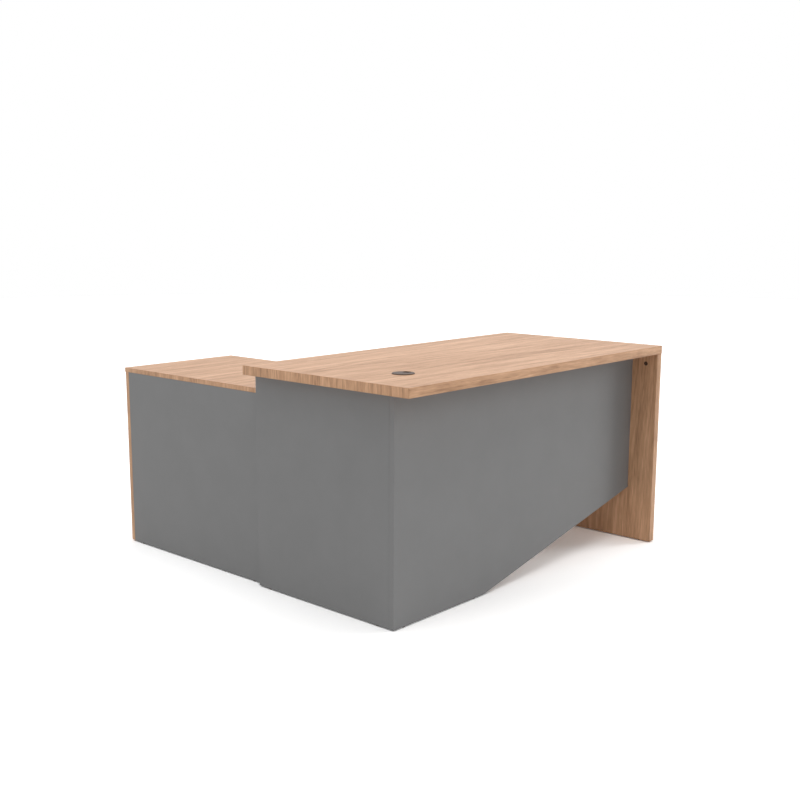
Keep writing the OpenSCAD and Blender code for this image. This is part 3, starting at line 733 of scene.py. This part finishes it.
class Assembly:
    """What every sub-assembly can do: dress the construction's nodes and add small pieces."""

    def dress(self, finish: Finish, *nodes: str) -> None:
        """Gives nodes of the construction their finish.

        Args:
            finish: The finish.
            nodes: The nodes' names.
        """
        for name in nodes:
            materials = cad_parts[name].data.materials
            materials.clear()
            materials.append(finish.material())
            LOG.info("%s: %s", name, finish.name)

    def panel(
        self, node: str, lay: Lay, sheet: int, crown: tuple[float, float] = (0.1, 0.45)
    ) -> None:
        """Dresses a board of the construction in walnut decor.

        Args:
            node: The board's name.
            lay: How it lies.
            sheet: The sheet of decor that it is cut from.
            crown: Where the arches peak, as shares of its size along the grain and across it.
        """
        low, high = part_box(node)
        through = lay.value[2]
        faces = (low[through], high[through])
        peak = tuple(
            low[axis] + share * (high[axis] - low[axis]) for axis, share in zip(lay.value, crown)
        )
        self.dress(WoodDecor(f"walnut_{node}", "walnut_board", lay, sheet, faces, peak), node)

    def settle(self, form: Form, name: str, body: str, finish: Finish) -> None:
        """Finishes a small piece and lets it ride on a body.

        Args:
            form: The piece's form.
            name: The piece's name.
            body: The body that it rides on.
            finish: Its finish.
        """
        made = form.piece(name)
        made.data.materials.append(finish.material())
        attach(made, body)
        LOG.info("%s: %s, on %s", name, finish.name, body)

    def screws(
        self, name: str, body: str, head: CrossHead, facing: Facing, spots: Iterable[Spot]
    ) -> None:
        """Adds a set of screws of one kind.

        Args:
            name: The set's name.
            body: The body that it rides on.
            head: The screws' head.
            facing: The way that the heads face.
            spots: The middle of each head's seat.
        """
        form = Form()
        for spot in spots:
            head.add(form, facing.at(spot))
        self.settle(form, name, body, PLATED_STEEL)

    def bumpers(self, name: str, body: str, x: float, spots: Iterable[tuple[float, float]]) -> None:
        """Adds the soft bumpers on the back of a front.

        Args:
            name: The set's name.
            body: The body that it rides on.
            x: Place of the front's back face.
            spots: Each bumper's Y and Z.
        """
        form, bumper = Form(), Bumper()
        for y, z in spots:
            bumper.add(form, Facing.LEFT.at((x, y, z)))
        self.settle(form, name, body, BLACK_RUBBER)


@dataclass
class MainDesk(Assembly):
    """The main worktop on its wooden gable and grey panels.

    Attributes:
        top_sheet: The sheet of decor that the worktop is cut from.
        top_crown: Where its arches peak, as shares of its size along the grain and across it.
        gable_sheet: The sheet of decor that the gable is cut from.
        gable_crown: Where its arches peak, likewise.
    """

    top_sheet: int = 21
    top_crown: tuple[float, float] = (0.1, 0.62)
    gable_sheet: int = 2
    gable_crown: tuple[float, float] = (0.08, 0.29)

    def build(self) -> None:
        """Dresses the worktop, the gable and the panels."""
        self.panel("desk_top", Lay.FLAT_ALONG_X, self.top_sheet, self.top_crown)
        self.panel("right_gable", Lay.UPRIGHT_FACING_X, self.gable_sheet, self.gable_crown)
        self.dress(GREY_MELAMINE, "modesty_panel", "side_panel", "return_back", "plinth_rail")
        self.dress(DARK_PLASTIC, "floor_glides")


@dataclass
class StorageReturn(Assembly):
    """The return's boards and shelves.

    Attributes:
        first_sheet: The sheet of decor that the first board is cut from. The next boards follow.
    """

    first_sheet: int = 3

    def build(self) -> None:
        """Dresses the boards, each from its own sheet of decor."""
        boards = {
            "return_top": Lay.FLAT_ALONG_X,
            "return_end_panel": Lay.UPRIGHT_FACING_Y,
            "return_near_panel": Lay.UPRIGHT_FACING_Y,
            "near_divider": Lay.UPRIGHT_FACING_Y,
            "far_divider": Lay.UPRIGHT_FACING_Y,
            "return_bottom": Lay.FLAT_ALONG_Y,
            "niche_shelf": Lay.FLAT_ALONG_Y,
            "cupboard_shelf": Lay.FLAT_ALONG_Y,
        }
        for sheet, (name, lay) in enumerate(boards.items(), start=self.first_sheet):
            self.panel(name, lay, sheet)
        self.dress(SHADE_DARKENED_ZINC, "shelf_pins")


@dataclass
class Drawer(Assembly):
    """One drawer with its front, its box and its pair of runners.

    Attributes:
        level: The drawer's name in the construction.
        sheet: The sheet of decor that its front is cut from.
        rows: Heights of the box's corner screws, as shares of the back's height.
        rail_sheet: Thickness of the runners' sheet.
        rail_screws: Places of the runners' screws, as shares of their length.
        rail_head: Heads of the runners' screws.
        box_head: Heads of the box's corner screws.
        handle_head: Heads of the handle's screws.
        bumper_inset: Distance of the bumpers from the front's upper and lower edges.
        near_bumper_inset: Distance of the near bumpers from the front's near edge.
        far_bumper_inset: Distance of the far bumpers from the front's far edge.
    """

    level: str
    sheet: int
    rows: tuple[float, ...]
    rail_sheet: float = 1.5 * MM
    rail_screws: tuple[float, ...] = (0.09, 0.5, 0.91)
    rail_head: CrossHead = CrossHead(4 * MM, 0.2 * MM)
    box_head: CrossHead = CrossHead(3.6 * MM, 0.9 * MM)
    handle_head: CrossHead = CrossHead(4.2 * MM, 1.6 * MM)
    bumper_inset: float = 12 * MM
    near_bumper_inset: float = 8 * MM
    far_bumper_inset: float = 4.2 * MM

    def build(self) -> None:
        """Dresses the drawer and adds its screws and bumpers."""
        box = (f"{self.level}_drawer_{part}" for part in ("near_side", "far_side", "back", "base"))
        rails = (f"{self.level}_{part}_rails" for part in ("drawer", "intermediate", "cabinet"))
        front = f"{self.level}_drawer_front"
        self.panel(front, Lay.UPRIGHT_FACING_X, self.sheet)
        self.dress(WHITE_MELAMINE, *box)
        self.dress(SATIN_ALUMINIUM, f"{self.level}_drawer_handle")
        self.dress(PLATED_STEEL, *rails)
        self.add_box_screws()
        self.add_rail_screws()
        self.add_front_fittings()

    def add_box_screws(self) -> None:
        """Adds the screws that hold the box's back between its sides."""
        back_low, back_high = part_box(f"{self.level}_drawer_back")
        x = (back_low.x + back_high.x) / 2
        heights = [back_low.z + row * (back_high.z - back_low.z) for row in self.rows]
        for side, facing in (("near", Facing.NEAR), ("far", Facing.FAR)):
            low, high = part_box(f"{self.level}_drawer_{side}_side")
            y = low.y if facing is Facing.NEAR else high.y
            spots = [(x, y, z) for z in heights]
            name = f"{self.level}_{side}_back_screws"
            self.screws(name, f"{self.level}_drawer", self.box_head, facing, spots)

    def add_rail_screws(self) -> None:
        """Adds the screws of the runners, those in the cabinet and those on the box."""
        low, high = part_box(f"{self.level}_cabinet_rails")
        z = (low.z + high.z) / 2
        places = [low.x + share * (high.x - low.x) for share in self.rail_screws]
        near_face, far_face = low.y + self.rail_sheet, high.y - self.rail_sheet
        self.rail_set("near_cabinet", "desk", Facing.FAR, near_face, z, places)
        self.rail_set("far_cabinet", "desk", Facing.NEAR, far_face, z, places)
        near_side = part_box(f"{self.level}_drawer_near_side")[0].y
        far_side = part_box(f"{self.level}_drawer_far_side")[1].y
        body = f"{self.level}_drawer"
        self.rail_set("near_drawer", body, Facing.NEAR, near_side - self.rail_sheet, z, places)
        self.rail_set("far_drawer", body, Facing.FAR, far_side + self.rail_sheet, z, places)

    def rail_set(
        self, member: str, body: str, facing: Facing, y: float, z: float, places: Sequence[float]
    ) -> None:
        """Adds the screws of one runner member, at places along the face of its sheet."""
        spots = [(x, y, z) for x in places]
        self.screws(f"{self.level}_{member}_rail_screws", body, self.rail_head, facing, spots)

    def add_front_fittings(self) -> None:
        """Adds the handle's screws and the bumpers on the back of the front."""
        low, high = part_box(f"{self.level}_drawer_front")
        handle_low, handle_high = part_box(f"{self.level}_drawer_handle")
        post = (handle_high.z - handle_low.z) / 2
        z = (handle_low.z + handle_high.z) / 2
        spots = [(low.x, handle_low.y + post, z), (low.x, handle_high.y - post, z)]
        body = f"{self.level}_drawer"
        self.screws(f"{self.level}_handle_screws", body, self.handle_head, Facing.LEFT, spots)
        sides = (low.y + self.near_bumper_inset, high.y - self.far_bumper_inset)
        heights = (low.z + self.bumper_inset, high.z - self.bumper_inset)
        spots = [(y, z) for y in sides for z in heights]
        self.bumpers(f"{self.level}_front_bumpers", body, low.x, spots)


@dataclass
class Lock(Assembly):
    """The lock in the upper drawer's front."""

    def build(self) -> None:
        """Dresses the lock."""
        self.dress(SHADE_DARKENED_ZINC, "lock_housing", "lock_barrel")


@dataclass
class Cupboard(Assembly):
    """The cupboard's door with its handle, hinges and magnetic catch.

    Attributes:
        door_sheet: The sheet of decor that the door is cut from.
        leaf: Thickness of the hinges' leaves.
        leaf_play: Gap between a leaf and the board beside it.
        hinge_length: Length of a hinge.
        frame_screws: Places of a frame leaf's screws, as shares of the hinge's length.
        door_screw_inset: Distance of a door leaf's screw from the middle of the leaf.
        leaf_head: Heads of the hinges' screws.
        catch_head: Heads of the screws in the catch's housing.
        plate_head: Heads of the screws in the catch's plate.
        handle_head: Heads of the handle's screws.
        catch_screw_inset: Distance of the housing's screws from its ends.
        plate_screw_inset: Distance of the plate's screws from its ends.
        bumper_inset: Distance of the bumpers from the door's upper and lower edges.
        bumper_edge: Distance of the bumpers from the door's free edge.
    """

    door_sheet: int = 14
    leaf: float = 1.2 * MM
    leaf_play: float = 0.2 * MM
    hinge_length: float = 60 * MM
    frame_screws: tuple[float, ...] = (1 / 6, 5 / 6)
    door_screw_inset: float = 2 * MM
    leaf_head: CrossHead = CrossHead(3 * MM, 0.22 * MM)
    catch_head: CrossHead = CrossHead(2.4 * MM, 0.6 * MM)
    plate_head: CrossHead = CrossHead(2 * MM, 0.2 * MM)
    handle_head: CrossHead = CrossHead(4.2 * MM, 1.6 * MM)
    catch_screw_inset: float = 4.5 * MM
    plate_screw_inset: float = 2.8 * MM
    bumper_inset: float = 15 * MM
    bumper_edge: float = 4.2 * MM

    def build(self) -> None:
        """Dresses the door and its fittings and adds their screws and bumpers."""
        self.panel("cupboard_door", Lay.UPRIGHT_FACING_X, self.door_sheet)
        self.dress(SATIN_ALUMINIUM, "door_handle")
        self.dress(PLATED_STEEL, "door_hinge_leaves", "frame_hinge_leaves", "hinge_pins")
        self.dress(PLATED_STEEL, "catch_magnet", "catch_plate")
        self.dress(DARK_PLASTIC, "catch_housing")
        self.add_hinge_screws()
        self.add_catch_screws()
        self.add_door_fittings()

    def add_hinge_screws(self) -> None:
        """Adds the screws of the hinge leaves, two in each frame leaf and one in each door leaf."""
        low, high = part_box("frame_hinge_leaves")
        knuckle = (high.x - low.x - self.leaf_play) / 2
        y = (low.y + high.y) / 2 - knuckle
        feet = (low.z, high.z - self.hinge_length)
        heights = [foot + share * self.hinge_length for foot in feet for share in self.frame_screws]
        spots = [(low.x + self.leaf, y, z) for z in heights]
        self.screws("frame_leaf_screws", "desk", self.leaf_head, Facing.RIGHT, spots)
        door_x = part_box("cupboard_door")[0].x - self.leaf
        spots = [(door_x, y + self.door_screw_inset, foot + self.hinge_length / 2) for foot in feet]
        self.screws("door_leaf_screws", "cupboard_door", self.leaf_head, Facing.LEFT, spots)

    def add_catch_screws(self) -> None:
        """Adds the screws of the catch's housing and of its plate."""
        low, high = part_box("catch_housing")
        x = (low.x + high.x) / 2
        heights = (low.z + self.catch_screw_inset, high.z - self.catch_screw_inset)
        spots = [(x, high.y, z) for z in heights]
        self.screws("catch_housing_screws", "desk", self.catch_head, Facing.FAR, spots)
        low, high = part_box("catch_plate")
        y = (low.y + high.y) / 2
        heights = (low.z + self.plate_screw_inset, high.z - self.plate_screw_inset)
        spots = [(low.x, y, z) for z in heights]
        self.screws("catch_plate_screws", "cupboard_door", self.plate_head, Facing.LEFT, spots)

    def add_door_fittings(self) -> None:
        """Adds the handle's screws and the bumpers on the back of the door."""
        low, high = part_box("cupboard_door")
        handle_low, handle_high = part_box("door_handle")
        post = (handle_high.y - handle_low.y) / 2
        y = (handle_low.y + handle_high.y) / 2
        spots = [(low.x, y, handle_low.z + post), (low.x, y, handle_high.z - post)]
        self.screws("door_handle_screws", "cupboard_door", self.handle_head, Facing.LEFT, spots)
        heights = (low.z + self.bumper_inset, high.z - self.bumper_inset)
        spots = [(low.y + self.bumper_edge, z) for z in heights]
        self.bumpers("door_bumpers", "cupboard_door", low.x, spots)


@dataclass
class CableOutlet(Assembly):
    """The outlet in the main worktop."""

    def build(self) -> None:
        """Dresses the sleeve and the cap."""
        self.dress(DARK_PLASTIC, "outlet_sleeve", "outlet_cap")


@dataclass
class JointFittings(Assembly):
    """The knock-down joints of the boards."""

    def build(self) -> None:
        """Dresses the cams, bolts, screws and dowels."""
        self.dress(SHADE_DARKENED_ZINC, "cam_locks", "link_screws")
        self.dress(PLATED_STEEL, "cam_bolts")
        self.dress(BEECH, "wood_dowels")


@dataclass(frozen=True)
class Sun:
    """A soft lamp that lights everything from one direction.

    Attributes:
        name: The lamp's name.
        turn: Where the light comes from, in degrees from the visitor's side towards the gable.
        height: Its height above the horizon, in degrees.
        width: How wide the lamp looks, in degrees.
        level: Light on a surface that faces the lamp.
        distance: How far from the desk it hangs, which changes nothing in its light.
    """

    name: str
    turn: float
    height: float
    width: float
    level: float
    distance: float = 5.0

    def hang(self) -> None:
        """Hangs the lamp, which leaves no glare on the tops: gloss shows the backdrop alone."""
        light = bpy.data.lights.new(self.name, "SUN")
        light.energy = self.level * math.pi
        light.angle = math.radians(self.width)
        turn, height = math.radians(self.turn), math.radians(self.height)
        reach = math.cos(height)
        source = Vector((math.sin(turn) * reach, -math.cos(turn) * reach, math.sin(height)))
        lamp = bpy.data.objects.new(self.name, light)
        lamp.rotation_euler = source.to_track_quat("Z", "Y").to_euler()
        lamp.location = source * self.distance
        lamp.visible_glossy = False
        bpy.context.scene.collection.objects.link(lamp)


@dataclass
class Studio:
    """Camera, floor, backdrop and lamps.

    Attributes:
        camera_spot: Place of the camera.
        camera_turn: Direction that it looks, in degrees from +Y towards +X.
        camera_tilt: Its tilt, in degrees, negative for downwards.
        lens: Its focal length in millimetres, on a sensor 36 mm wide.
        shift: How far the picture is shifted, as shares of its width.
        sight: How far the camera sees.
        floor_radius: Radius of the floor.
        floor_sides: How many sides the floor has.
        sky_level: Light that the backdrop gives.
        floor_light: Share of the light that the floor gives back.
        floor_white: Paleness of the floor where it is looked at, over 1 so that only shadows show.
        lamps: The lamps.
    """

    camera_spot: Spot = (-2.8932, -2.6517, 1.1890)
    camera_turn: float = 47.03
    camera_tilt: float = -10.0
    lens: float = 48.82
    shift: tuple[float, float] = (0.0279, 0.0150)
    sight: float = 100.0
    floor_radius: float = 14.0
    floor_sides: int = 96
    sky_level: float = 0.257
    floor_light: float = 0.8
    floor_white: float = 1.34
    lamps: tuple[Sun, ...] = (
        Sun("key", turn=58.5, height=18.0, width=24.0, level=0.455),
        Sun("fill", turn=-80.0, height=40.0, width=60.0, level=0.197),
        Sun("overhead", turn=0.0, height=90.0, width=60.0, level=0.45),
        Sun("far_end", turn=190.0, height=25.0, width=40.0, level=0.215),
    )

    def build(self) -> None:
        """Sets up the whole studio."""
        self.set_camera()
        self.lay_floor()
        self.paint_backdrop()
        for lamp in self.lamps:
            lamp.hang()
        bpy.context.scene.view_settings.view_transform = "Standard"

    def set_camera(self) -> None:
        """Places the camera at the photograph's viewpoint."""
        camera = bpy.data.cameras.new("camera")
        camera.lens = self.lens
        camera.shift_x, camera.shift_y = self.shift
        camera.clip_end = self.sight
        holder = bpy.data.objects.new("camera", camera)
        holder.location = self.camera_spot
        tilt, turn = math.radians(90 + self.camera_tilt), -math.radians(self.camera_turn)
        holder.rotation_euler = (tilt, 0.0, turn)
        bpy.context.scene.collection.objects.link(holder)
        bpy.context.scene.camera = holder

    def lay_floor(self) -> None:
        """Lays the round pale floor."""
        form = Form()
        rim = form.ring(self.floor_radius, 0.0, self.floor_sides, Matrix.Identity(4))
        form.mesh.faces.new(rim)
        floor = form.piece("floor")
        material = bpy.data.materials.new("studio_floor")
        material.use_nodes = True
        tree = Wiring(material.node_tree)
        paleness = tree.choose(tree.seen(), self.floor_light, self.floor_white)
        shader = tree.node("ShaderNodeBsdfDiffuse", {"Color": paleness})
        tree.node("ShaderNodeOutputMaterial", {0: shader.outputs[0]})
        floor.data.materials.append(material)

    def paint_backdrop(self) -> None:
        """Paints the world white where it is looked at, and sets the light that it gives."""
        world = bpy.data.worlds.new("backdrop")
        world.use_nodes = True
        bpy.context.scene.world = world
        tree = Wiring(world.node_tree)
        level = tree.choose(tree.seen(), self.sky_level, 1.0)
        inputs = {"Color": (1.0, 1.0, 1.0, 1.0), "Strength": level}
        shader = tree.node("ShaderNodeBackground", inputs)
        tree.node("ShaderNodeOutputWorld", {0: shader.outputs[0]})


def main() -> None:
    """Builds the studio and dresses each sub-assembly in turn."""
    logging.basicConfig(level=logging.INFO, format="%(message)s")
    Studio().build()
    parts = (
        MainDesk(),
        CableOutlet(),
        StorageReturn(),
        Drawer("upper", sheet=11, rows=(0.08, 0.92)),
        Drawer("middle", sheet=12, rows=(0.08, 0.92)),
        Drawer("lower", sheet=13, rows=(0.05, 0.55, 0.95)),
        Lock(),
        Cupboard(),
        JointFittings(),
    )
    for part in parts:
        LOG.info("Building %s", type(part).__name__)
        part.build()


if __name__ == "__main__":
    main()
